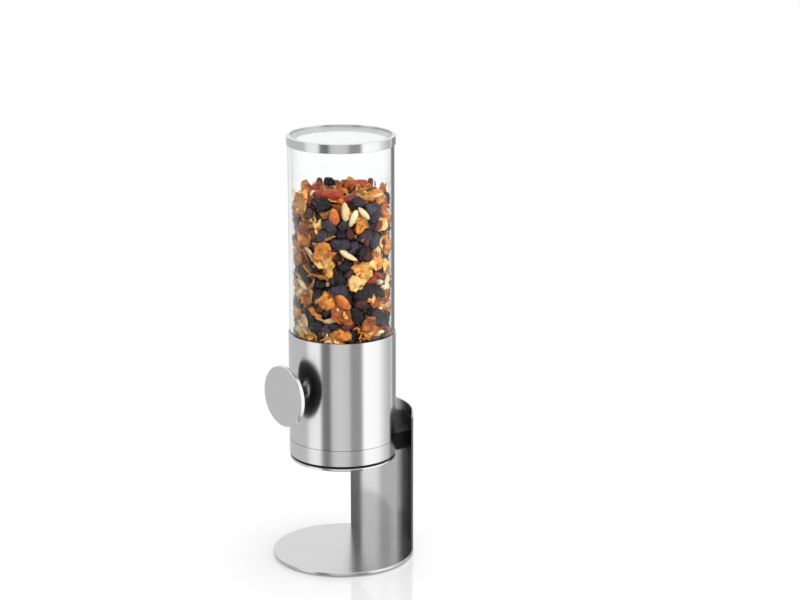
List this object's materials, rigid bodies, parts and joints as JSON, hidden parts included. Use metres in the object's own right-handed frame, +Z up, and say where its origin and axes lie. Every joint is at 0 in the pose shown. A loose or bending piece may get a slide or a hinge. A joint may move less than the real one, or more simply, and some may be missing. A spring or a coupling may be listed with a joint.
{
  "type": "gravity bulk food bin",
  "caption": "Tabletop gravity food bin: clear lidded tube in a steel sleeve with a knob-turned paddle wheel, lifted onto a stand with a shelf ring over an open bowl space.",
  "frame": {"origin": "on the table, under the centre of the round base plate", "axes": "+Z up along the tube; the knob points to -Y and the curved column stands at +Y"},
  "size_m": [0.146, 0.1495, 0.4452],
  "materials": {
    "brushed_steel": "satin brushed stainless steel",
    "polished_steel": "polished stainless steel",
    "screw_steel": "plain zinc-plated steel",
    "insert_brass": "plain turned brass",
    "black_plastic": "satin moulded black",
    "gloss_black": "glossy black",
    "white_plastic": "natural white moulded",
    "clear_acrylic": "clear polished acrylic",
    "silicone": "translucent food silicone",
    "foam_rubber": "closed-cell foam rubber"
  },
  "bodies": {
    "stand": {"anti_slip_pad": "foam_rubber", "base_plate": "brushed_steel", "back_column": "brushed_steel", "ring_carrier": "black_plastic", "shelf_band": "brushed_steel", "shelf_trim_ring": "polished_steel", "outlet_collar": "gloss_black", "collar_screws": "screw_steel", "column_screws": "screw_steel", "thread_inserts": "insert_brass"},
    "canister": {"sleeve": "brushed_steel", "dosing_housing": "black_plastic", "hopper": "black_plastic", "housing_screws": "screw_steel", "clear_tube": "clear_acrylic", "tube_gasket": "silicone", "front_bush": "black_plastic", "rear_bearing": "white_plastic"},
    "rotor": {"knob_disc": "brushed_steel", "knob_boss": "polished_steel", "grub_screw": "screw_steel", "drive_shaft": "polished_steel", "rotor_hub": "white_plastic", "rotor_vanes": "silicone", "thrust_washers": "white_plastic", "retaining_clip": "screw_steel"},
    "lid": {"lid_ring": "brushed_steel", "lid_window": "clear_acrylic", "lid_plug": "clear_acrylic", "lid_gasket": "silicone"}
  },
  "joints": [
    {"name": "canister_lift", "type": "slide", "parent": "stand", "child": "canister", "axis": [0, 0, 1], "range_m": [0, 0.07]},
    {"name": "knob_turn", "type": "hinge", "parent": "canister", "child": "rotor", "pos_m": [0, -0.06, 0.1854], "axis": [0, -1, 0], "continuous": true},
    {"name": "lid_lift", "type": "slide", "parent": "canister", "child": "lid", "axis": [0, 0, 1], "range_m": [0, 0.04]}
  ]
}
